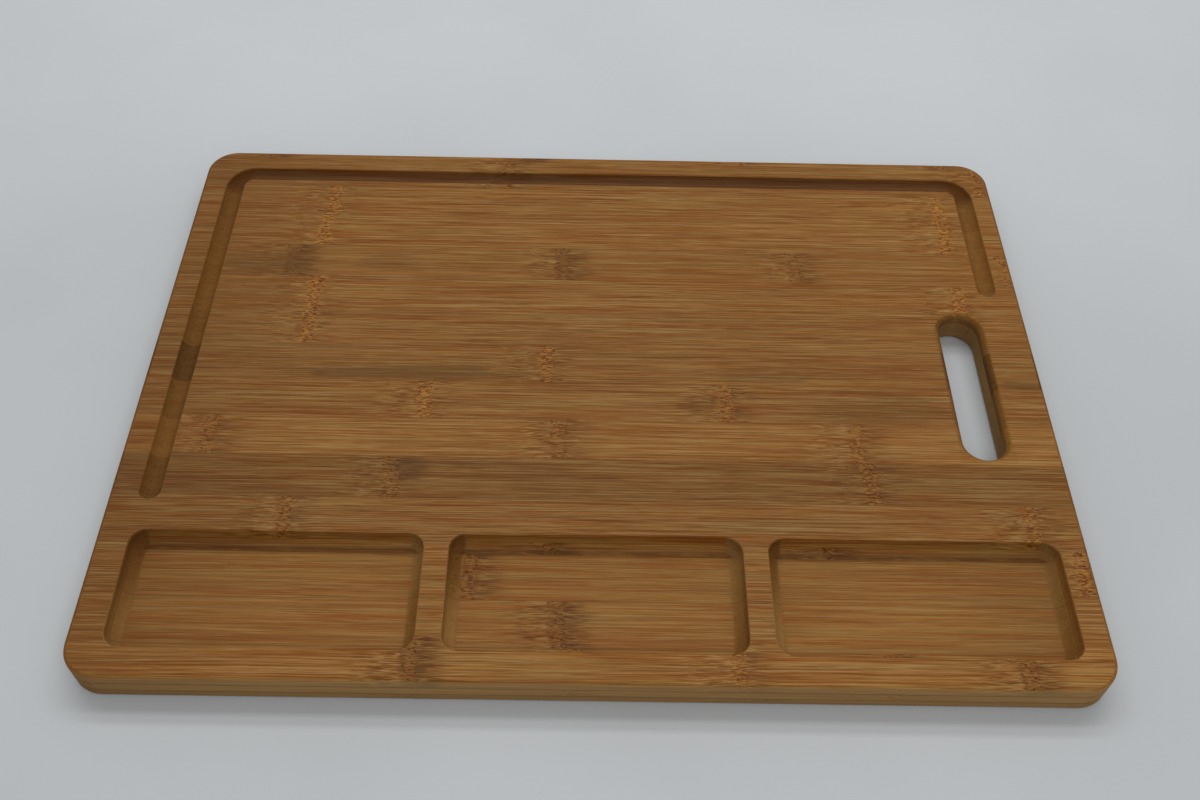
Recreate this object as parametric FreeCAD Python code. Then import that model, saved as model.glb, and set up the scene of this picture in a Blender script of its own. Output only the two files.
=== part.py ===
import FreeCAD, Part
import math
import os

# A bamboo carving board, laminated from three plies. Each ply is a row of bamboo strips glued edge to edge,
# with the grain of every strip along X. A juice groove runs round three sides of the top, a hand slot goes
# through the right end, and serving wells lie along the front. Every strip is a node of its own. A strip that
# the slot or the wells cut right through is one node with a separate solid for each piece that they leave.
#
# Lengths are in millimetres. The origin is the centre of the underside. X runs along the board towards the
# hand slot, Y from the front edge, where the wells are, to the back, and Z is up.

# Board
BOARD_LENGTH = 380.0        # along X
BOARD_WIDTH = 280.0         # along Y
CORNER_RADIUS = 13.3        # upright corners of the board
EDGE_ROUND = 1.5            # rounding of the top and bottom edges all round

# Plies, and the strips that each is glued up from
TOP_PLY = 5.0
CORE_PLY = 5.0
BOTTOM_PLY = 5.0
STRIP_WIDTH = 19.85
TOP_JOINT = -2.8            # the glued joint of each ply that is nearest the board's middle, along Y
CORE_JOINT = -3.4
BOTTOM_JOINT = 7.15

# The router's set-up: wells and groove lie this far to the right of the board's middle
ROUTER_OFFSET = 1.0
RIM_ROUND = 0.5             # eased rims of the wells and the groove

# Serving wells
WELL_COUNT = 3
WELL_END_MARGIN = 12.0      # board left between the outer wells and the board's ends
WELL_FRONT_MARGIN = 12.3    # board left between the wells and the front edge
WELL_WEB = 10.0             # board left between two wells
WELL_WIDTH = 49.3           # along Y
WELL_DEPTH = 8.0
WELL_CORNER = 6.5           # upright corners of a well
WELL_FLOOR_ROUND = 5.0      # hollow rounding where the walls meet the floor

# Hand slot
SLOT_WIDTH = 18.0
SLOT_LENGTH = 78.0          # along Y, over its round ends
SLOT_INSET = 30.0           # centre line to the board's right end
SLOT_RIM_ROUND = 2.0

# Juice groove
GROOVE_WIDTH = 8.2
GROOVE_DEPTH = 3.8
GROOVE_END_INSET = 14.5     # centre line to the board's ends
GROOVE_BACK_INSET = 15.6    # centre line to the board's back edge
GROOVE_BEND = 9.0           # radius of the centre line at the back corners
GROOVE_WELL_GAP = 13.9      # board left between the left arm's end and the wells
GROOVE_SLOT_GAP = 12.3      # board left between the right arm's end and the hand slot

# Making
CUTTER_OVERRUN = 5.0        # how far a cutting tool stands out of the face that it cuts
TOUCH = 1e-4                # closest distance at which two heights count as the same
UP = FreeCAD.Vector(0, 0, 1)

THICKNESS = TOP_PLY + CORE_PLY + BOTTOM_PLY
LEFT = -BOARD_LENGTH / 2
RIGHT = BOARD_LENGTH / 2
FRONT = -BOARD_WIDTH / 2
BACK = BOARD_WIDTH / 2

WELL_LENGTH = (BOARD_LENGTH - 2 * WELL_END_MARGIN - (WELL_COUNT - 1) * WELL_WEB) / WELL_COUNT
WELL_FRONT = FRONT + WELL_FRONT_MARGIN
WELL_BACK = WELL_FRONT + WELL_WIDTH
SLOT_X = RIGHT - SLOT_INSET
SLOT_BACK = SLOT_LENGTH / 2


def round_upright_edges(solid, radius):
    upright = [edge for edge in solid.Edges if edge.BoundBox.ZLength > TOUCH]
    return solid.makeFillet(radius, upright)


def flat_faces_at(solid, height):
    return [face for face in solid.Faces
            if abs(face.BoundBox.ZMin - height) < TOUCH and abs(face.BoundBox.ZMax - height) < TOUCH]


def outer_edges_at(solid, height):
    return [edge for face in flat_faces_at(solid, height) for edge in face.OuterWire.Edges]


def rim_edges_at(solid, height, left=LEFT):
    """Edges of the openings in a flat face, of those that lie wholly to the right of an X position."""
    edges = []
    for face in flat_faces_at(solid, height):
        for wire in face.Wires:
            if not wire.isSame(face.OuterWire) and wire.BoundBox.XMin > left:
                edges.extend(wire.Edges)
    return edges


def rounded_block(length, width, height, radius):
    """A block with rounded upright edges, centred on X and Y and standing on Z = 0."""
    block = Part.makeBox(length, width, height, FreeCAD.Vector(-length / 2, -width / 2, 0))
    return round_upright_edges(block, radius)


def blank():
    """The glued-up board as sawn to size, with its corners and its edges rounded."""
    board = rounded_block(BOARD_LENGTH, BOARD_WIDTH, THICKNESS, CORNER_RADIUS)
    return board.makeFillet(EDGE_ROUND, outer_edges_at(board, 0) + outer_edges_at(board, THICKNESS))


def well_cutter(centre_x):
    cutter = rounded_block(WELL_LENGTH, WELL_WIDTH, WELL_DEPTH + CUTTER_OVERRUN, WELL_CORNER)
    cutter = cutter.makeFillet(WELL_FLOOR_ROUND, outer_edges_at(cutter, 0))
    cutter.translate(FreeCAD.Vector(centre_x, (WELL_FRONT + WELL_BACK) / 2, THICKNESS - WELL_DEPTH))
    return cutter


def well_cutters():
    first = ROUTER_OFFSET - (WELL_COUNT - 1) * (WELL_LENGTH + WELL_WEB) / 2
    return [well_cutter(first + number * (WELL_LENGTH + WELL_WEB)) for number in range(WELL_COUNT)]


def slot_cutter():
    radius = SLOT_WIDTH / 2
    height = THICKNESS + 2 * CUTTER_OVERRUN
    straight = SLOT_LENGTH - SLOT_WIDTH
    middle = Part.makeBox(SLOT_WIDTH, straight, height, FreeCAD.Vector(-radius, -straight / 2, 0))
    ends = [Part.makeCylinder(radius, height, FreeCAD.Vector(0, side * straight / 2, 0)) for side in (-1, 1)]
    cutter = middle.fuse(ends).removeSplitter()
    cutter.translate(FreeCAD.Vector(SLOT_X, 0, -CUTTER_OVERRUN))
    return cutter


def groove_cutter():
    """A ball's way along the left arm, round the back corners by the back run, and down the right arm."""
    half_width = GROOVE_WIDTH / 2
    ball_radius = (half_width ** 2 + GROOVE_DEPTH ** 2) / (2 * GROOVE_DEPTH)
    height = THICKNESS - GROOVE_DEPTH + ball_radius

    left_x = LEFT + GROOVE_END_INSET + ROUTER_OFFSET
    right_x = RIGHT - GROOVE_END_INSET + ROUTER_OFFSET
    back_y = BACK - GROOVE_BACK_INSET
    bend_y = back_y - GROOVE_BEND
    left_end = FreeCAD.Vector(left_x, WELL_BACK + GROOVE_WELL_GAP + half_width, height)
    right_end = FreeCAD.Vector(right_x, SLOT_BACK + GROOVE_SLOT_GAP + half_width, height)
    left_bend = FreeCAD.Vector(left_x, bend_y, height)
    right_bend = FreeCAD.Vector(right_x, bend_y, height)
    back_start = FreeCAD.Vector(left_x + GROOVE_BEND, back_y, height)
    back_stop = FreeCAD.Vector(right_x - GROOVE_BEND, back_y, height)

    def disc(centre, along):
        return Part.Face(Part.Wire(Part.makeCircle(ball_radius, centre, along)))

    def straight(start, stop):
        return disc(start, stop - start).extrude(stop - start)

    def bend(start, along, centre_x):
        centre = FreeCAD.Vector(centre_x, bend_y, height)
        return disc(start, along).revolve(centre, UP, -90)

    pieces = [
        Part.makeSphere(ball_radius, left_end),
        straight(left_end, left_bend),
        bend(left_bend, FreeCAD.Vector(0, 1, 0), back_start.x),
        straight(back_start, back_stop),
        bend(back_stop, FreeCAD.Vector(1, 0, 0), back_stop.x),
        straight(right_bend, right_end),
        Part.makeSphere(ball_radius, right_end),
    ]
    return pieces[0].fuse(pieces[1:]).removeSplitter()


def finished_board():
    """The whole board with its wells, groove and hand slot, before it is told apart into strips."""
    board = blank().cut(well_cutters() + [groove_cutter()])
    board = board.makeFillet(RIM_ROUND, rim_edges_at(board, THICKNESS))
    board = board.cut(slot_cutter())
    slot_left = SLOT_X - SLOT_WIDTH / 2 - TOUCH
    slot_rims = rim_edges_at(board, THICKNESS, slot_left) + rim_edges_at(board, 0, slot_left)
    return board.makeFillet(SLOT_RIM_ROUND, slot_rims)


def strip_joints(middle_joint):
    """The Y positions of a ply's glued joints, with the board's front and back edges at the ends."""
    whole_strips = math.floor((middle_joint - FRONT) / STRIP_WIDTH)
    joint = middle_joint - whole_strips * STRIP_WIDTH
    joints = [FRONT]
    while joint < BACK:
        joints.append(joint)
        joint += STRIP_WIDTH
    return joints + [BACK]


def ply_strips(board, floor, height, middle_joint):
    """The part of the board that each strip of one ply keeps, from the front strip to the back one."""
    joints = strip_joints(middle_joint)
    strips = []
    for front, back in zip(joints, joints[1:]):
        corner = FreeCAD.Vector(LEFT - CUTTER_OVERRUN, front, floor)
        space = Part.makeBox(BOARD_LENGTH + 2 * CUTTER_OVERRUN, back - front, height, corner)
        strips.append(board.common(space).removeSplitter())
    return strips


def main():
    os.makedirs("parts", exist_ok=True)
    board = finished_board()
    plies = [
        ("bottom", 0, BOTTOM_PLY, BOTTOM_JOINT),
        ("core", BOTTOM_PLY, CORE_PLY, CORE_JOINT),
        ("top", BOTTOM_PLY + CORE_PLY, TOP_PLY, TOP_JOINT),
    ]
    for ply, floor, height, middle_joint in plies:
        for number, strip in enumerate(ply_strips(board, floor, height, middle_joint), start=1):
            strip.exportStep(f"parts/{ply}_strip_{number:02d}.step")


main()
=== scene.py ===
"""Bamboo for the strips of a laminated carving board, and a floor, soft light and a camera to see it by."""

import math
import random

import bpy
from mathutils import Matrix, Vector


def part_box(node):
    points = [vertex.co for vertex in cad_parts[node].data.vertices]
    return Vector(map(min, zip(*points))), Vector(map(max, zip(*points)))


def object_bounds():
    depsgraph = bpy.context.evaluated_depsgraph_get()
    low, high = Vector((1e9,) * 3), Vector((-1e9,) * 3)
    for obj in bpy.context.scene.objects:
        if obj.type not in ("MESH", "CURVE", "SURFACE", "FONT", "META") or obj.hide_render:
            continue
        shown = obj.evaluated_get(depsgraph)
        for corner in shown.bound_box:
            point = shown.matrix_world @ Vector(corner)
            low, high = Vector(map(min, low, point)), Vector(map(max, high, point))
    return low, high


bl_info = {
    "name": "Bamboo Carving Board",
    "version": (1, 0, 0),
    "blender": (4, 5, 0),
    "location": "View3D > Sidebar > Board",
    "description": "Bamboo for the strips of a laminated carving board, and a stage to see it on",
    "category": "Material",
}

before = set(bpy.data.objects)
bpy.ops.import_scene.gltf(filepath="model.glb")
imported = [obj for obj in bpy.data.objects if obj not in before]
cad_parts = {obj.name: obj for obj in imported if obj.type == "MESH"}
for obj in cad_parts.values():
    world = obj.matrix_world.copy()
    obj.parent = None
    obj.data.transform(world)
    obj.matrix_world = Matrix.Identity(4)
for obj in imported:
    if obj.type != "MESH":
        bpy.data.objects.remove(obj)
BOARD_LOW, BOARD_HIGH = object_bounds()

MM = 1000.0                 # millimetres in a metre: the bamboo is worked out in millimetres

# The board's hollows, its outer faces and its top ply, in metres
WELL_MARGIN = 0.012         # from the board's edges to the wells
WELL_BACK = 0.0616          # from the front edge to the back walls of the wells
WELL_DEPTH = 0.008
SLOT_INSET = 0.030          # from the right end to the hand slot's centre line
SLOT_WIDTH = 0.018
SLOT_LENGTH = 0.078
SLOT_RIM = 0.0025           # how far the slot's rounded rim reaches out over the top
GROOVE_WIDTH = 0.0082
GROOVE_DEPTH = 0.0038
GROOVE_BACK = 0.0205        # from the back edge to the front edge of the groove's back run
ARM_SPREAD = 0.1755         # from the middle between the groove's two arms to the centre line of each
ARM_SHIFT = 0.001           # from the board's middle to the middle between the two arms
OUTER_DEPTH = 0.0085        # how deep from the board's edges a face still counts as an outer one
TOP_PLY = 0.005

# How the bamboo is made up, in millimetres
FAR = 9999.0                # a place that is nowhere near the board
TOUCH = 0.01                # closest distance at which two faces count as the same
SEED_STEP = (211.3, 31.7, 17.9)     # how far apart two seeds lie in the noises: along, across, up
STAIN_DEPTH = 10.0          # how far a stain goes down into the wood
NODES_A_STRIP = 4
STAINS_A_STRIP = 3
TOP_SEED = 1
CORE_SEED = 31
BOTTOM_SEED = 61

# A strip that isn't in the tables below gets nodes as in a culm, a tone and a grey, by chance between these
FIRST_NODE = (-60, 110)     # millimetres from the left end
NODE_SPACING = (100, 140)   # millimetres
NODE_DARKNESS = (0.1, 0.9)
HIDDEN_TONE = (0.9, 1.06)
HIDDEN_GREYS = (0, 0, 0.1, 0.25)

# The stage, in metres and degrees
FLOOR_GAP = 0.0002          # keeps the floor and the board's underside out of one plane
CAMERA_PLACE = (-0.002827, -0.328431, 0.418)
CAMERA_TURN = (38.1284, -0.9930, 0.4257)
SENSOR_WIDTH = 36.0         # millimetres
# Each lamp's setting for its power, its width and depth, and its place
LAMPS = {
    "front_lamp": ("front_power", (1.1, 0.8), (0.22, -0.78, 1.08)),
    "near_lamp": ("near_power", (1.8, 0.20), (0.0, 0.48, 1.34)),
    "far_lamp": ("far_power", (1.8, 0.16), (0.0, 0.82, 1.28)),
}

# What each strip of the top ply looks like, by its number from the front edge. tone multiplies its colour,
# and end does so again where its fibres are cut across. grey takes the warmth out of it. nodes are the
# bamboo's knuckles: (millimetres from the left end, darkness). stains are darker patches: (millimetres from
# the left end, from the front edge, half length, half width, strength).
TOP_STRIPS = {
    1: dict(tone=1.16, grey=0.14, nodes=[(124.5, 1.3), (243, 0.6), (347, 1.1)],
            stains=[(128.8, 4.6, 2.8, 1.2, 0.9)]),
    2: dict(tone=1.00, grey=0.05, nodes=[]),
    3: dict(tone=1.00, grey=0.05, nodes=[(376, 0.4)]),
    4: dict(tone=0.90, grey=0.00, nodes=[(70, 0.6), (361, 0.5)]),
    5: dict(tone=0.77, grey=0.00, nodes=[(109, 0.4), (300, 0.35)], stains=[(116, 92, 9, 6, 0.5)]),
    6: dict(tone=1.17, grey=0.20, nodes=[(33, 0.6), (175, 0.9), (297, 0.7)]),
    7: dict(tone=0.94, grey=0.00, end=0.95, nodes=[(119, 0.2), (245, 0.5)],
            stains=[(310, 125, 36, 9, 0.35), (232, 126, 10, 5, 0.3)]),
    8: dict(tone=0.95, grey=0.08, end=0.65, nodes=[(169, 0.3)],
            stains=[(110, 141, 52, 5, 0.5), (265, 141, 22, 4, 0.3), (374, 139.5, 14, 3.5, 0.5)]),
    9: dict(tone=0.93, grey=0.00, end=0.95, nodes=[(64, 0.1)]),
    10: dict(tone=0.97, grey=0.00, nodes=[(64, 0.1), (353, 0.2)]),
    11: dict(tone=1.19, grey=0.33, end=0.95, nodes=[(51, 1.2), (174, 1.2), (280, 0.8), (378, 0.4)],
             stains=[(95, 207, 14, 6, 0.3), (40, 204, 24, 9, 0.45)]),
    12: dict(tone=1.01, grey=0.00, end=0.93, nodes=[(63.5, 0.1), (353, 0.1)]),
    13: dict(tone=0.99, grey=0.00, end=0.88, nodes=[(64, 0.25), (352, 0.2)]),
    14: dict(tone=0.99, grey=0.12, nodes=[(146, 0.6), (376, 0.4)]),
    15: dict(tone=1.24, grey=0.30, nodes=[(31, 0.9), (156, 1.5), (260, 0.7), (358, 0.8)]),
}
# The same for the strips of the core that show as the floors of the wells.
CORE_STRIPS = {
    1: dict(tone=1.12, grey=0.10, nodes=[(5, 0.3), (182, 0.5), (300, 0.6)]),
    2: dict(tone=1.02, grey=0.03, nodes=[(176.7, 1.1), (-60, 0.3)]),
    3: dict(tone=0.98, grey=0.03, nodes=[(142.6, 0.9), (398, 0.3)]),
    4: dict(tone=0.95, grey=0.00, nodes=[(-20, 0.2), (172, 0.8), (282, 0.7)]),
}


def srgb(red, green, blue):
    """A colour of 0 to 255 steps as the linear numbers that a shader takes, with its alpha."""
    steps = [value / 255 for value in (red, green, blue)]
    return tuple(v / 12.92 if v <= 0.04045 else ((v + 0.055) / 1.055) ** 2.4 for v in steps) + (1.0,)


def colour_setting(name, description, default):
    """A colour that the sidebar lists."""
    return bpy.props.FloatVectorProperty(
        name=name, description=description, default=default, size=4, min=0, max=1, subtype="COLOR")


def length_setting(name, description, default):
    """A length in metres that the sidebar lists."""
    return bpy.props.FloatProperty(
        name=name, description=description, default=default, min=0.00001, precision=5, subtype="DISTANCE",
        unit="LENGTH")


def share_setting(name, description, default):
    """A share of 0 to 1 that the sidebar lists."""
    return bpy.props.FloatProperty(
        name=name, description=description, default=default, min=0, max=1, subtype="FACTOR")


def power_setting(name, description, default):
    """A power in watts that the sidebar lists."""
    return bpy.props.FloatProperty(name=name, description=description, default=default, min=0, unit="POWER")


class BambooSettings(bpy.types.PropertyGroup):
    """Colours, sizes and strengths of the bamboo's grain."""

    straw: colour_setting("Straw", "Pale bands between the fibres", srgb(139, 101, 45))
    amber: colour_setting("Amber", "Warm bands between the fibres", srgb(125, 74, 21))
    pale: colour_setting("Pale", "The palest streaks between the fibres", srgb(150, 117, 69))
    fibre: colour_setting("Fibre", "Dark bundles of fibre along the grain", srgb(98, 50, 7))
    orange: colour_setting("Orange", "Warmer streaks", srgb(146, 84, 19))
    olive: colour_setting("Olive", "Cooler streaks", srgb(118, 94, 53))
    bright: colour_setting("Bright", "Bright short fibres at the nodes", srgb(176, 118, 46))
    knot: colour_setting("Knot", "Dark short fibres at the nodes", srgb(94, 38, 1))
    smudge: colour_setting("Smudge", "Dark smudges at the nodes and at the foot of a wall", srgb(76, 42, 11))
    pit: colour_setting("Pit", "Pits at the nodes", srgb(54, 27, 8))
    grey: colour_setting("Grey", "What greyer strips and stains tend to", srgb(84, 56, 21))
    glue: colour_setting("Glue", "The line of glue in a joint", srgb(80, 48, 20))
    end_grain: colour_setting("End grain", "Cut ends of the fibres", srgb(116, 79, 36))
    raw_edge: colour_setting("Raw edge", "The outer edges and the hand slot's wall", srgb(130, 107, 68))
    # painted shade: a dark brown painted where the lamps leave shade, on the groove's back run, the slot's
    # upper wall and the back of the wells' left end walls
    painted_shade: colour_setting(
        "Burnish", "Where the router has burnished the back of the groove", srgb(66, 31, 5))
    streak: length_setting("Streak", "Width of a streak across the grain", 0.0005)
    fibre_width: length_setting("Fibre width", "Width of the finest fibres", 0.00028)
    band: length_setting("Tone band", "Width of the bands of one tone", 0.0036)
    streak_length: length_setting("Streak length", "Length of a streak along the grain", 0.070)
    node_width: length_setting("Node width", "Length along the grain that a node takes up", 0.0066)
    node_reach: length_setting("Node reach", "How far from a node the grain is unsettled", 0.021)
    glue_width: length_setting("Glue line", "Width of a glue line", 0.0003)
    streak_share: share_setting("Streaks", "How dark the streaks are", 0.82)
    fibre_share: share_setting("Fine fibres", "How dark the finest fibres are", 0.55)
    pale_share: share_setting("Pale streaks", "How pale the streaks between the fibres are", 0.8)
    cut_share: share_setting("Cut ends", "How much of the end grain's colour a cut end has", 0.65)
    node_share: share_setting("Node fibres", "How bright the short fibres at a node are", 0.75)
    smudge_share: share_setting("Smudges", "How dark the smudges beside a dark node are", 0.85)
    # how dark the painted shade on the groove's back run is
    painted_shade_share: share_setting("Burnished groove", "How dark the back of the groove is", 0.72)
    glue_share: share_setting("Glue lines", "How much the glue lines show", 0.45)
    roughness: share_setting("Roughness", "Roughness of the oiled wood", 0.5)
    relief: share_setting("Relief", "How strongly fibres and pits stand in relief", 0.25)


class StageSettings(bpy.types.PropertyGroup):
    """The floor, the light and the camera."""

    floor: colour_setting("Floor", "Colour of the floor", srgb(182, 185, 187))
    # painted light: the floor is made lighter behind the board, as if the lamps fell more strongly there
    far_floor_painted_light: colour_setting("Far floor", "Colour of the floor behind the board", srgb(192, 195, 197))
    floor_size: length_setting("Floor size", "Width and depth of the floor", 6.0)
    sky: bpy.props.FloatProperty(
        name="Sky", description="Strength of the even light from all round", default=0.47, min=0)
    sky_colour: colour_setting("Sky colour", "Colour of the even light", (0.98, 0.99, 1.0, 1.0))
    front_power: power_setting("Front lamp", "Power of the wide lamp over the front", 5.0)
    near_power: power_setting("Near lamp", "Power of the long lamp just behind the board", 5.6)
    far_power: power_setting("Far lamp", "Power of the long lamp further behind the board", 5.9)
    lens: bpy.props.FloatProperty(
        name="Lens", description="Focal length of the camera", default=36.76, min=1, unit="CAMERA")


class Wire:
    """A number that runs through a tree. A sum on it adds its Math nodes."""

    def __init__(self, tree, socket):
        self.tree = tree
        self.socket = socket

    def math(self, operation, *numbers):
        """The result of a Math node on these numbers and wires."""
        node = self.tree.add("ShaderNodeMath", {"operation": operation}, dict(enumerate(numbers)))
        return Wire(self.tree, node.outputs[0])

    def __add__(self, other):
        return self.math("ADD", self, other)

    def __radd__(self, other):
        return self.math("ADD", other, self)

    def __sub__(self, other):
        return self.math("SUBTRACT", self, other)

    def __rsub__(self, other):
        return self.math("SUBTRACT", other, self)

    def __mul__(self, other):
        return self.math("MULTIPLY", self, other)

    def __rmul__(self, other):
        return self.math("MULTIPLY", other, self)

    def __truediv__(self, other):
        return self.math("DIVIDE", self, other)

    def __abs__(self):
        return self.math("ABSOLUTE", self)

    def __lt__(self, other):
        return self.math("LESS_THAN", self, other)

    def least(self, other):
        """The smaller of this number and another."""
        return self.math("MINIMUM", self, other)

    def span(self, half):
        """1 within half of 0 and 0 beyond it, with a soft edge."""
        return abs(self).rise(half + 0.3, half - 0.3)

    def rise(self, low, high):
        """0 up to low and 1 from high on, with a smooth rise between them. With low above high it falls."""
        node = self.tree.add(
            "ShaderNodeMapRange", {"interpolation_type": "SMOOTHSTEP"},
            {"Value": self, "From Min": low, "From Max": high})
        return Wire(self.tree, node.outputs["Result"])

    def toward(self, other, share):
        """This number, moved towards another by a share of the way."""
        return self + share * (other - self)


class Tree:
    """Adds the nodes of one material or node group."""

    def __init__(self, tree):
        self.tree = tree

    def add(self, kind, settings=None, sockets=None):
        """A node of this kind. Its settings are made first, then its sockets get their values or links."""
        node = self.tree.nodes.new(kind)
        for name, value in (settings or {}).items():
            setattr(node, name, value)
        for key, value in (sockets or {}).items():
            if isinstance(value, Wire):
                value = value.socket
            if isinstance(value, bpy.types.NodeSocket):
                self.tree.links.new(value, node.inputs[key])
            else:
                node.inputs[key].default_value = value
        return node

    def split(self, vector):
        """The three numbers of a vector."""
        node = self.add("ShaderNodeSeparateXYZ", None, {0: vector})
        return [Wire(self, output) for output in node.outputs]

    def joined(self, x, y, z):
        """The vector of three numbers."""
        return self.add("ShaderNodeCombineXYZ", None, {0: x, 1: y, 2: z}).outputs[0]

    def noise(self, x, y, z, detail=2.0, roughness=0.5):
        """Smooth noise of 0 to 1, with features about 1 long in each of x, y and z."""
        node = self.add("ShaderNodeTexNoise", None, {
            "Vector": self.joined(x, y, z), "Scale": 1.0, "Detail": detail, "Roughness": roughness})
        return Wire(self, node.outputs[0])

    def drift(self, x, y, z):
        """Two noises of -0.5 to 0.5 that don't follow each other."""
        node = self.add("ShaderNodeTexNoise", None, {
            "Vector": self.joined(x, y, z), "Scale": 1.0, "Detail": 1.5, "Roughness": 0.5})
        parts = self.split(node.outputs["Color"])
        return parts[0] - 0.5, parts[1] - 0.5

    def mix(self, share, first, second):
        """The colour that is a share of the way from the first to the second."""
        node = self.add("ShaderNodeMix", {"data_type": "RGBA"}, {0: share, 6: first, 7: second})
        return node.outputs[2]

    def scaled(self, vector, factor):
        """A vector or a colour, all of its numbers multiplied by a factor."""
        return self.add(
            "ShaderNodeVectorMath", {"operation": "SCALE"}, {0: vector, "Scale": factor}).outputs[0]


class Bamboo:
    """Bamboo at one place in a strip, in millimetres: the numbers that its layers share, then the layers."""

    def __init__(self, tree, given, look):
        self.tree = tree
        self.given = given
        self.look = look
        self.seed = self.wire("Seed")
        self.low, self.high = BOARD_LOW * MM, BOARD_HIGH * MM
        self.find_place()
        self.find_node()
        self.run_fibres()
        self.find_cut_ends()
        self.find_node_band()
        self.find_hollows()

    def wire(self, name):
        """One of the numbers that the strip's material gives."""
        return Wire(self.tree, self.given[name])

    def fibrous(self, length, width, detail, roughness):
        """Noise that follows the fibres, with features of this length along the grain and this width."""
        return self.tree.noise(
            self.along / length, self.across / width, self.up / width, detail, roughness)

    def find_place(self):
        """Where this place is in the board, and which way its face looks."""
        self.place = self.tree.scaled(self.given["Place"], MM)
        self.x, self.y, self.z = self.tree.split(self.place)
        self.below_top = self.high.z - self.z
        self.from_front = self.y - self.low.y
        self.from_back = self.high.y - self.y
        from_ends = (self.x - self.low.x).least(self.high.x - self.x)
        self.inset = from_ends.least(self.from_front).least(self.from_back)
        self.facing = self.tree.split(self.given["Facing"])
        self.level = abs(self.facing[2])

    def find_node(self):
        """How far beyond the nearest node this place is along the grain, and how dark that node is."""
        beyond = self.x - self.wire("Node 1")
        darkness = self.wire("Node 1 darkness")
        for count in range(2, NODES_A_STRIP + 1):
            other = self.x - self.wire(f"Node {count}")
            nearer = abs(other) < abs(beyond)
            beyond = beyond.toward(other, nearer)
            darkness = darkness.toward(self.wire(f"Node {count} darkness"), nearer)
        lean = self.tree.noise(self.seed * 3.7, self.y / 7, self.z / 7) - 0.5
        self.beyond = beyond + 5.0 * lean
        self.darkness = darkness
        self.unrest = abs(self.beyond + 5.0).rise(self.look.node_reach * MM, 4.0)

    def run_fibres(self):
        """The fibres drift across the grain, more so near a node, and the grain's noises follow them."""
        look, y, z = self.look, self.y, self.z
        along_step, across_step, up_step = SEED_STEP
        self.along = self.x + self.seed * along_step
        slow_y, slow_z = self.tree.drift(self.along / 80, y / 12, z / 12)
        quick_y, quick_z = self.tree.drift(self.along / 11, y / 3, z / 3)
        swing = 0.22 + 1.8 * self.unrest
        self.across = y + self.seed * across_step + 1.2 * slow_y + swing * quick_y
        self.up = z + self.seed * up_step + 1.2 * slow_z + swing * quick_z

        streaks = self.fibrous(look.streak_length * MM, look.streak * MM, 2.0, 0.6)
        self.dashes = self.fibrous(9, 0.5, 2.0, 0.5)
        self.grain = streaks.toward(self.dashes, 0.25 + 0.55 * self.unrest)
        self.fine = self.fibrous(30, look.fibre_width * MM, 1.0, 0.5)
        self.cloud = self.fibrous(9, 1.5, 2.5, 0.6)
        self.lumps = self.fibrous(2, 0.5, 1.5, 0.6)

    def find_cut_ends(self):
        """Where the fibres are cut across: on walls that look along the grain and in the groove's arms.
        Streaks show only where the fibres lie along the face, and less so low down in the board."""
        foot = GROOVE_DEPTH * MM + 0.4
        self.in_groove = self.below_top.rise(0.2, 1.2) * self.below_top.rise(foot + 0.4, foot)
        arm = (abs(self.x - ARM_SHIFT * MM) - ARM_SPREAD * MM).span(GROOVE_WIDTH * MM / 2)
        arm = arm * self.in_groove * self.from_front.rise(WELL_BACK * MM + 2, WELL_BACK * MM + 4)
        self.turned = abs(self.facing[0]).rise(0.02, 0.25)
        self.cut = self.turned + arm - self.turned * arm
        self.lying = 1 - self.cut
        self.plain = self.lying * (1 - 0.35 * self.below_top.rise(2, 6))
        self.streaks = self.plain * (0.6 * self.grain.rise(0.44, 0.6) + 0.4 * self.grain.rise(0.54, 0.64))

    def find_node_band(self):
        """The node's own ragged band across the grain, and the pits in it."""
        self.half_node = self.look.node_width * MM / 2
        self.ragged = self.beyond + 3.4 * (self.fibrous(5, 0.8, 1.0, 0.5) - 0.5)
        self.band = self.lying * abs(self.ragged).rise(self.half_node + 0.8, self.half_node - 0.8)
        cells = self.tree.add("ShaderNodeTexVoronoi", None, {
            "Vector": self.tree.joined(self.along / 2.4, self.across / 1.6, self.up / 1.6),
            "Scale": 1.0, "Randomness": 1.0})
        pits = Wire(self.tree, cells.outputs["Distance"]).rise(0.26, 0.14)
        self.pits = self.band * pits * (0.3 + 0.7 * self.darkness)

    def find_hollows(self):
        """The hand slot with its rim, painted shade on its rim and the upper part of its wall, and the end
        walls of the wells.
        """
        beside = (self.x - (self.high.x - SLOT_INSET * MM)).span((SLOT_WIDTH / 2 + SLOT_RIM) * MM)
        self.slot = beside * self.y.span((SLOT_LENGTH / 2 + SLOT_RIM) * MM)
        # painted shade on the slot's rim and its wall in the top ply, where the top ply's end grain is also
        # a little darker of itself
        sloping = 0.3 + 0.7 * self.level.rise(0.99, 0.8)
        self.shaded = self.slot * sloping * self.below_top.rise(TOP_PLY * MM + 0.4, TOP_PLY * MM - 0.6)
        self.above_floor = self.below_top.rise(WELL_DEPTH * MM + 1, WELL_DEPTH * MM + 0.4)
        before_back = (WELL_BACK * MM + 1 - self.from_front).rise(0.0, 1.0)
        end_wall = self.turned * self.inset.rise(WELL_MARGIN * MM - 1, WELL_MARGIN * MM) * before_back
        self.left_wall = end_wall * self.facing[0].rise(0.0, 0.3)
        self.right_wall = end_wall - self.left_wall

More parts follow.
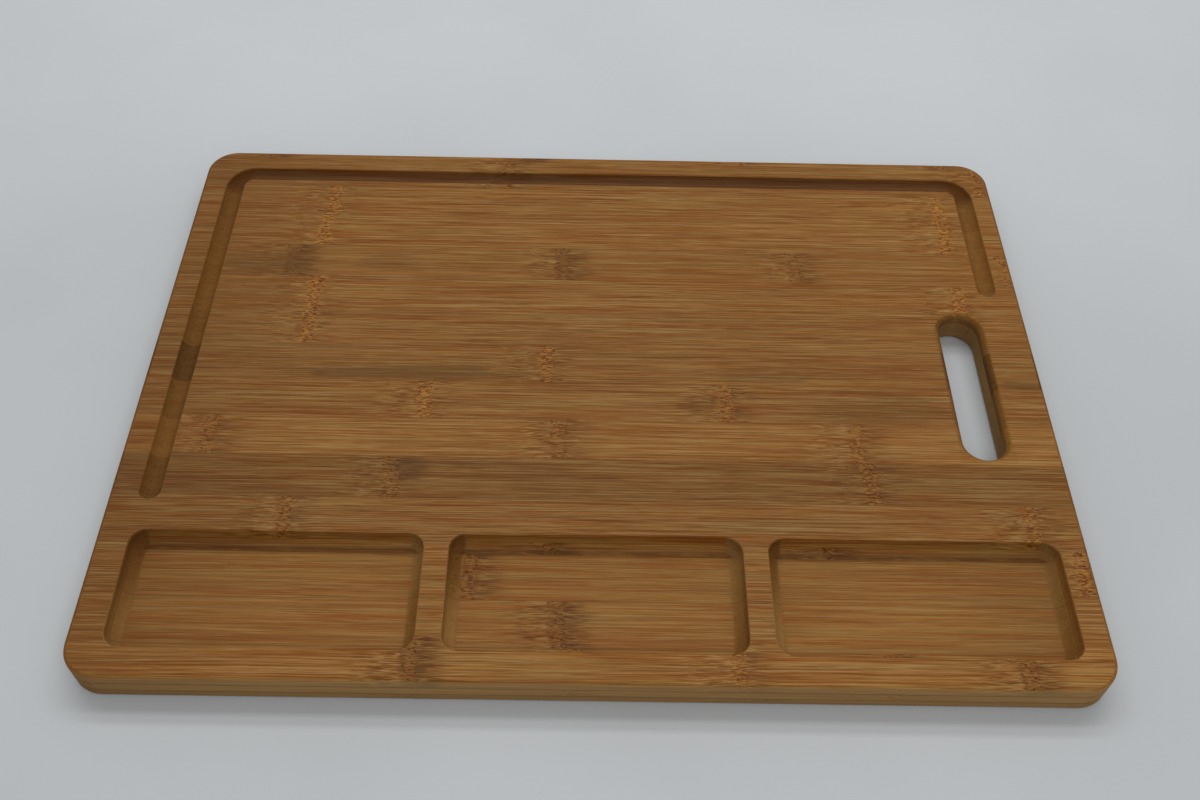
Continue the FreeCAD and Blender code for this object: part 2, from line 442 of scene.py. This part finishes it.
    def grain_colour(self):
        """Broad bands of tone with dark and pale streaks along the grain."""
        tree, look = self.tree, self.look
        bands = self.fibrous(90, look.band * MM, 2.0, 0.5)
        tint = self.fibrous(90, 0.9, 2.0, 0.6)
        colour = tree.mix(bands.rise(0.36, 0.64), look.amber, look.straw)
        colour = tree.mix(0.4, colour, tree.mix(tint.rise(0.36, 0.64), look.orange, look.olive))
        colour = tree.mix(look.streak_share * self.streaks, colour, look.fibre)
        colour = tree.mix(look.fibre_share * self.plain * self.fine.rise(0.5, 0.66), colour, look.fibre)
        colour = tree.mix(look.pale_share * self.plain * self.grain.rise(0.47, 0.34), colour, look.pale)
        return tree.mix(0.5 * look.pale_share * self.plain * self.fine.rise(0.48, 0.34), colour, look.pale)

    def cut_ends(self, colour):
        """Even end grain with specks, where the fibres are cut across."""
        specks = self.tree.noise(self.x / 1.1, self.y / 0.8, self.z / 0.8, 2.0, 0.6)
        colour = self.tree.mix(self.look.cut_share * self.cut, colour, self.look.end_grain)
        return self.tree.mix(0.45 * self.cut * specks.rise(0.46, 0.7), colour, self.look.smudge)

    def node_marks(self, colour):
        """The node itself: a ragged band of short bright and dark fibres, with pits."""
        tree, look = self.tree, self.look
        bright = self.band * (1 - 0.55 * self.darkness) * self.lumps.rise(0.5, 0.6)
        colour = tree.mix(look.node_share * bright, colour, look.bright)
        colour = tree.mix(0.85 * self.band * self.lumps.rise(0.49, 0.37), colour, look.knot)
        return tree.mix(0.8 * self.pits, colour, look.pit)

    def smudges(self, colour):
        """Dark strands on either side of a dark node, longer on the left."""
        strands = self.dashes.rise(0.4, 0.6)
        behind = self.ragged.rise(self.half_node - 2.0, self.half_node + 0.6) * self.beyond.rise(17.0, 4.0)
        behind = behind * (0.4 * self.cloud.rise(0.3, 0.56) + 0.6 * strands)
        before = 0.7 * self.beyond.rise(-24.0, -6.0) * self.ragged.rise(-2.0, -4.0)
        before = before * self.cloud.rise(0.4, 0.6) * strands
        share = self.look.smudge_share * self.darkness * (behind + before)
        colour = self.tree.mix(share, colour, self.look.smudge)
        return self.tree.mix(0.36 * self.darkness * self.band, colour, self.look.smudge)

    def stains(self, colour):
        """The strip's own darker patches, with streaky edges, and its greyness."""
        tree, look = self.tree, self.look
        for count in range(1, STAINS_A_STRIP + 1):
            offset = tree.add(
                "ShaderNodeVectorMath", {"operation": "SUBTRACT"},
                {0: self.place, 1: self.given[f"Stain {count} place"]})
            share = tree.add(
                "ShaderNodeVectorMath", {"operation": "DIVIDE"},
                {0: offset.outputs[0], 1: self.given[f"Stain {count} reach"]})
            length = tree.add("ShaderNodeVectorMath", {"operation": "LENGTH"}, {0: share.outputs[0]})
            away = Wire(tree, length.outputs["Value"]) + 1.6 * (self.cloud - 0.5)
            colour = tree.mix(self.wire(f"Stain {count}") * away.rise(1.2, 0.5), colour, look.grey)
        return tree.mix(self.wire("Greyness"), colour, look.grey)

    def unoiled_and_painted_shade(self, colour):
        """Unoiled faces outside and in the slot, and painted shade on the slot's upper wall and the groove's
        back run.
        """
        tree, look = self.tree, self.look
        outer = self.inset.rise(OUTER_DEPTH * MM + 0.5, OUTER_DEPTH * MM - 0.5)
        slot_wall = self.slot * (0.2 + 0.35 * self.below_top.rise(TOP_PLY * MM - 0.6, TOP_PLY * MM + 0.4))
        raw = self.level.rise(0.8, 0.4) * (0.5 * outer + slot_wall)
        colour = tree.mix(raw, colour, look.raw_edge)
        # painted shade on the groove's back run, which faces away from the lamps behind the board
        back_run = self.from_back.rise(GROOVE_BACK * MM + 8, GROOVE_BACK * MM)
        painted_groove_shade = look.painted_shade_share * back_run * self.in_groove * (1 - outer)
        colour = tree.mix(painted_groove_shade, colour, look.painted_shade)
        # painted shade on the slot's rim and upper wall
        return tree.mix(0.2 * self.shaded, colour, look.painted_shade)

    def well_walls(self, colour):
        """The wells' end walls with painted light and shade, the dark line at their back walls' foot and a
        greyer floor on the right.
        """
        tree, look = self.tree, self.look
        # painted light and shade: left end walls darker towards the back and paler towards the front, right
        # end walls paler towards the back
        backward = self.from_front.rise(20.0, 58.0)
        colour = tree.mix(0.45 * self.left_wall * backward, colour, look.painted_shade)
        light = self.left_wall * (1 - backward) + self.right_wall * backward
        colour = tree.mix(0.3 * light, colour, look.pale)
        foot = (self.from_front - (WELL_BACK * MM - 3.3)).span(1.1)
        foot = foot * self.inset.rise(WELL_MARGIN * MM - 1, WELL_MARGIN * MM + 3)
        foot = foot * self.below_top.rise(WELL_DEPTH * MM - 0.95, WELL_DEPTH * MM - 0.4) * self.above_floor
        colour = tree.mix(0.66 * foot * (0.5 + 0.5 * self.cloud.rise(0.3, 0.55)), colour, look.smudge)
        right_floor = self.below_top.rise(5.0, 7.0) * self.above_floor
        right_floor = right_floor * self.x.rise(self.high.x - 70, self.high.x - 20)
        right_floor = right_floor * self.inset.rise(OUTER_DEPTH * MM - 0.5, OUTER_DEPTH * MM + 0.5)
        return tree.mix(0.2 * right_floor, colour, look.grey)

    def toned(self, colour):
        """The strip's own tone, a little darker towards the left end, and changed by how the face looks,
        with painted light and shade on walls.
        """
        colour = self.tree.mix(0.15 * self.x.rise(self.low.x + 80, self.low.x), colour, self.look.fibre)
        left = 0.84 + 0.16 * self.x.rise(self.low.x - 10, self.low.x + 90)
        shade = self.wire("Tone") * (left + 0.04 * self.x.rise(self.high.x - 130, self.high.x))
        # painted light: walls are made a fifth lighter than level faces
        shade = shade * (1 + 0.2 * self.level.rise(0.9, 0.3)) * (1 + self.cut * (self.wire("End tone") - 1))
        # painted shade darkens the slot's rim and upper wall and the wells' right end walls, painted light
        # lightens their left end walls
        shade = shade * (1 - 0.08 * self.shaded) * (1 + 0.06 * self.left_wall - 0.1 * self.right_wall)
        return self.tree.scaled(colour, shade)

    def glued(self, colour):
        """Glue lines where the strip meets its neighbours, a little wider on the outer faces."""
        edge = abs(self.y - self.wire("Front joint")).least(abs(self.y - self.wire("Back joint")))
        edge = edge.least(abs(self.z - self.wire("Lower joint")))
        edge = edge.least(abs(self.z - self.wire("Upper joint")))
        half_line = self.look.glue_width * MM / 2 + 0.2 * self.inset.rise(1.0, 0.5)
        self.glue = edge.rise(half_line + 0.1, half_line - 0.1)
        return self.tree.mix(self.look.glue_share * self.glue, colour, self.look.glue)

    def roughness(self):
        """Pits, cut ends and shaded walls are rougher than the oiled fibres."""
        fibres = 0.12 * (self.fine - 0.5) + 0.06 * self.streaks + 0.2 * self.pits
        return self.look.roughness + fibres + 0.3 * self.cut + 0.3 * self.shaded

    def relief(self):
        """Streaks, fibres, pits and glue lines lie low, and the lumps of a node stand up."""
        low = 0.012 * self.streaks + 0.01 * self.fine + 0.1 * self.pits + 0.03 * self.glue
        return (0.02 * self.band * (self.lumps - 0.5) - low) * self.lying


def bamboo_sockets():
    """Name, kind and default of each input of the bamboo group."""
    number, vector = "NodeSocketFloat", "NodeSocketVector"
    sockets = [
        ("Place", vector, None), ("Facing", vector, None), ("Seed", number, 0.0), ("Tone", number, 1.0),
        ("Greyness", number, 0.0), ("End tone", number, 1.0), ("Front joint", number, -FAR),
        ("Back joint", number, FAR), ("Lower joint", number, -FAR), ("Upper joint", number, FAR),
    ]
    for count in range(1, NODES_A_STRIP + 1):
        sockets.append((f"Node {count}", number, FAR))
        sockets.append((f"Node {count} darkness", number, 0.0))
    for count in range(1, STAINS_A_STRIP + 1):
        sockets.append((f"Stain {count} place", vector, (FAR, 0.0, 0.0)))
        sockets.append((f"Stain {count} reach", vector, (1.0, 1.0, 1.0)))
        sockets.append((f"Stain {count}", number, 0.0))
    return sockets


def bamboo_group(look):
    """The node group that makes bamboo of a place in the board: its colour, its roughness and its relief."""
    group = bpy.data.node_groups.new("Bamboo", "ShaderNodeTree")
    for name, kind, default in bamboo_sockets():
        socket = group.interface.new_socket(name, in_out="INPUT", socket_type=kind)
        if default is not None:
            socket.default_value = default
    results = {"Colour": "NodeSocketColor", "Roughness": "NodeSocketFloat", "Relief": "NodeSocketFloat"}
    for name, kind in results.items():
        group.interface.new_socket(name, in_out="OUTPUT", socket_type=kind)

    tree = Tree(group)
    wood = Bamboo(tree, tree.add("NodeGroupInput").outputs, look)
    colour = wood.grain_colour()
    layers = (wood.cut_ends, wood.node_marks, wood.smudges, wood.stains, wood.unoiled_and_painted_shade, wood.well_walls,
              wood.toned, wood.glued)
    for layer in layers:
        colour = layer(colour)
    tree.add("NodeGroupOutput", None, {
        "Colour": colour, "Roughness": wood.roughness(), "Relief": wood.relief()})
    return group


def new_material(name):
    """A material without nodes, and the tree to add them to."""
    material = bpy.data.materials.new(name)
    material.use_nodes = True
    material.node_tree.nodes.clear()
    return material, Tree(material.node_tree)


def strip_material(name, look, seed, facts, joints):
    """The bamboo of one strip. joints are its four glued sides in millimetres, or FAR if a side is free."""
    material, tree = new_material(name)
    group = bpy.data.node_groups.get("Bamboo") or bamboo_group(look)
    left, front = BOARD_LOW.x * MM, BOARD_LOW.y * MM
    coordinates = tree.add("ShaderNodeTexCoord").outputs
    sockets = {
        "Place": coordinates["Object"], "Facing": coordinates["Normal"], "Seed": seed,
        "Tone": facts["tone"], "Greyness": facts["grey"], "End tone": facts.get("end", 1.0),
        "Front joint": joints[0], "Back joint": joints[1],
        "Lower joint": joints[2], "Upper joint": joints[3],
    }
    for count, (place, darkness) in enumerate(facts["nodes"], start=1):
        sockets[f"Node {count}"] = left + place
        sockets[f"Node {count} darkness"] = darkness
    for count, stain in enumerate(facts.get("stains", []), start=1):
        place, depth, half_length, half_width, strength = stain
        sockets[f"Stain {count} place"] = (left + place, front + depth, BOARD_HIGH.z * MM)
        sockets[f"Stain {count} reach"] = (half_length, half_width, STAIN_DEPTH)
        sockets[f"Stain {count}"] = strength
    bamboo = tree.add("ShaderNodeGroup", {"node_tree": group}, sockets)
    bump = tree.add("ShaderNodeBump", None, {
        "Strength": look.relief, "Distance": 1 / MM, "Height": bamboo.outputs["Relief"]})
    shader = tree.add("ShaderNodeBsdfPrincipled", None, {
        "Base Color": bamboo.outputs["Colour"], "Roughness": bamboo.outputs["Roughness"],
        "Specular IOR Level": 0.1, "Normal": bump.outputs["Normal"]})
    tree.add("ShaderNodeOutputMaterial", None, {"Surface": shader.outputs["BSDF"]})
    return material


def hidden_strip(number, seed):
    """The facts of a strip that isn't in the tables, by chance from a fixed seed."""
    chance = random.Random(seed * 100 + number)
    place = chance.uniform(*FIRST_NODE)
    nodes = []
    while place < (BOARD_HIGH.x - BOARD_LOW.x) * MM and len(nodes) < NODES_A_STRIP:
        nodes.append((place, chance.uniform(*NODE_DARKNESS)))
        place += chance.uniform(*NODE_SPACING)
    return dict(tone=chance.uniform(*HIDDEN_TONE), grey=chance.choice(HIDDEN_GREYS), nodes=nodes)


def dress_ply(ply, look, seed, known):
    """Gives every strip of a ply its bamboo, from the known facts or, where there are none, by chance."""
    strips = {name: node for name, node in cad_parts.items() if name.startswith(f"{ply}_strip_")}
    if not strips:
        raise RuntimeError(f"the frame has no strips of the {ply} ply")
    for name, node in strips.items():
        number = int(name.rsplit("_", 1)[1])
        low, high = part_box(name)
        sides = [(low.y, BOARD_LOW.y), (high.y, BOARD_HIGH.y), (low.z, BOARD_LOW.z), (high.z, BOARD_HIGH.z)]
        joints = [FAR if abs(side - edge) * MM < TOUCH else side * MM for side, edge in sides]
        facts = known.get(number) or hidden_strip(number, seed)
        material = strip_material(f"bamboo_{ply}_{number:02d}", look, seed + number, facts, joints)
        node.data.materials.clear()
        node.data.materials.append(material)


class BOARD_OT_top_ply(bpy.types.Operator):
    """Give the strips of the top ply their bamboo"""

    bl_idname = "board.top_ply"
    bl_label = "Top Ply"

    def execute(self, context):
        dress_ply("top", context.scene.board_bamboo, TOP_SEED, TOP_STRIPS)
        return {"FINISHED"}


class BOARD_OT_core_ply(bpy.types.Operator):
    """Give the strips of the core their bamboo, with the floors of the wells"""

    bl_idname = "board.core_ply"
    bl_label = "Core Ply"

    def execute(self, context):
        dress_ply("core", context.scene.board_bamboo, CORE_SEED, CORE_STRIPS)
        return {"FINISHED"}


class BOARD_OT_bottom_ply(bpy.types.Operator):
    """Give the strips of the bottom ply their bamboo"""

    bl_idname = "board.bottom_ply"
    bl_label = "Bottom Ply"

    def execute(self, context):
        dress_ply("bottom", context.scene.board_bamboo, BOTTOM_SEED, {})
        return {"FINISHED"}


def floor_material(stage):
    """A pale floor, faintly mottled, with painted light that makes it lighter behind the board."""
    material, tree = new_material("pale_floor")
    x, y, z = tree.split(tree.add("ShaderNodeTexCoord").outputs["Object"])
    mottle = tree.noise(x / 0.15, y / 0.15, z, 3.0, 0.5)
    colour = tree.mix(y.rise(0.0, 2 * BOARD_HIGH.y), stage.floor, stage.far_floor_painted_light)
    shader = tree.add("ShaderNodeBsdfPrincipled", None, {
        "Base Color": tree.scaled(colour, 1 - 0.05 * mottle.rise(0.3, 0.7)),
        "Roughness": 0.7, "Specular IOR Level": 0.2})
    tree.add("ShaderNodeOutputMaterial", None, {"Surface": shader.outputs["BSDF"]})
    return material


def floor_piece(stage):
    """A square of floor just under the board."""
    half = stage.floor_size / 2
    height = BOARD_LOW.z - FLOOR_GAP
    corners = [(-half, -half, height), (half, -half, height), (half, half, height), (-half, half, height)]
    mesh = bpy.data.meshes.new("floor")
    mesh.from_pydata(corners, [], [(0, 1, 2, 3)])
    mesh.materials.append(floor_material(stage))
    floor = bpy.data.objects.new("floor", mesh)
    bpy.context.scene.collection.objects.link(floor)


def sky(stage):
    """Even light from all round, which looks like the floor to the camera."""
    world = bpy.data.worlds.new("sky")
    bpy.context.scene.world = world
    world.use_nodes = True
    world.node_tree.nodes.clear()
    tree = Tree(world.node_tree)
    light = tree.add("ShaderNodeBackground", None, {"Color": stage.sky_colour, "Strength": stage.sky})
    seen = tree.add("ShaderNodeBackground", None, {"Color": stage.floor, "Strength": 1.0})
    rays = tree.add("ShaderNodeLightPath")
    both = tree.add("ShaderNodeMixShader", None, {
        0: rays.outputs["Is Camera Ray"], 1: light.outputs[0], 2: seen.outputs[0]})
    tree.add("ShaderNodeOutputWorld", None, {"Surface": both.outputs[0]})


def put(name, data, place, turn):
    """Puts a lamp or a camera into the scene, at a place and with a turn about X, Y and Z in radians."""
    thing = bpy.data.objects.new(name, data)
    thing.location = place
    thing.rotation_euler = turn
    bpy.context.scene.collection.objects.link(thing)
    return thing


def lamp(name, power, size, place):
    """A soft lamp of this width and depth, which shines at the board's middle."""
    light = bpy.data.lights.new(name, "AREA")
    light.shape = "RECTANGLE"
    light.energy = power
    light.size, light.size_y = size
    x, y, z = place
    put(name, light, place, (math.atan2(math.hypot(x, y), z), 0.0, math.atan2(x, -y)))


def camera(lens):
    """The camera that looks down at the board from over its front."""
    data = bpy.data.cameras.new("camera")
    data.lens = lens
    data.sensor_width = SENSOR_WIDTH
    turn = [math.radians(degrees) for degrees in CAMERA_TURN]
    bpy.context.scene.camera = put("camera", data, CAMERA_PLACE, turn)


class BOARD_OT_stage(bpy.types.Operator):
    """Make the floor, the light and the camera"""

    bl_idname = "board.stage"
    bl_label = "Stage"

    def execute(self, context):
        stage = context.scene.board_stage
        floor_piece(stage)
        sky(stage)
        for name, (power, size, place) in LAMPS.items():
            lamp(name, getattr(stage, power), size, place)
        camera(stage.lens)
        context.scene.view_settings.view_transform = "Standard"
        return {"FINISHED"}


class BOARD_PT_panel(bpy.types.Panel):
    """The board's settings and operators in the sidebar"""

    bl_idname = "BOARD_PT_panel"
    bl_label = "Carving Board"
    bl_space_type = "VIEW_3D"
    bl_region_type = "UI"
    bl_category = "Board"

    def draw(self, context):
        for settings in (context.scene.board_bamboo, context.scene.board_stage):
            for name in settings.__annotations__:
                self.layout.prop(settings, name)
        for operator in OPERATORS:
            self.layout.operator(operator.bl_idname)


SETTINGS = (BambooSettings, StageSettings)
OPERATORS = (BOARD_OT_top_ply, BOARD_OT_core_ply, BOARD_OT_bottom_ply, BOARD_OT_stage)


def register():
    """Makes the classes and the scene's settings known to Blender."""
    for kind in (*SETTINGS, *OPERATORS, BOARD_PT_panel):
        bpy.utils.register_class(kind)
    bpy.types.Scene.board_bamboo = bpy.props.PointerProperty(type=BambooSettings)
    bpy.types.Scene.board_stage = bpy.props.PointerProperty(type=StageSettings)


def unregister():
    """Takes away what register made known, in reverse order."""
    del bpy.types.Scene.board_stage
    del bpy.types.Scene.board_bamboo
    for kind in reversed((*SETTINGS, *OPERATORS, BOARD_PT_panel)):
        bpy.utils.unregister_class(kind)


def main():
    """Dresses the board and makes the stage."""
    register()
    bpy.ops.board.top_ply()
    bpy.ops.board.core_ply()
    bpy.ops.board.bottom_ply()
    bpy.ops.board.stage()


if __name__ == "__main__":
    main()
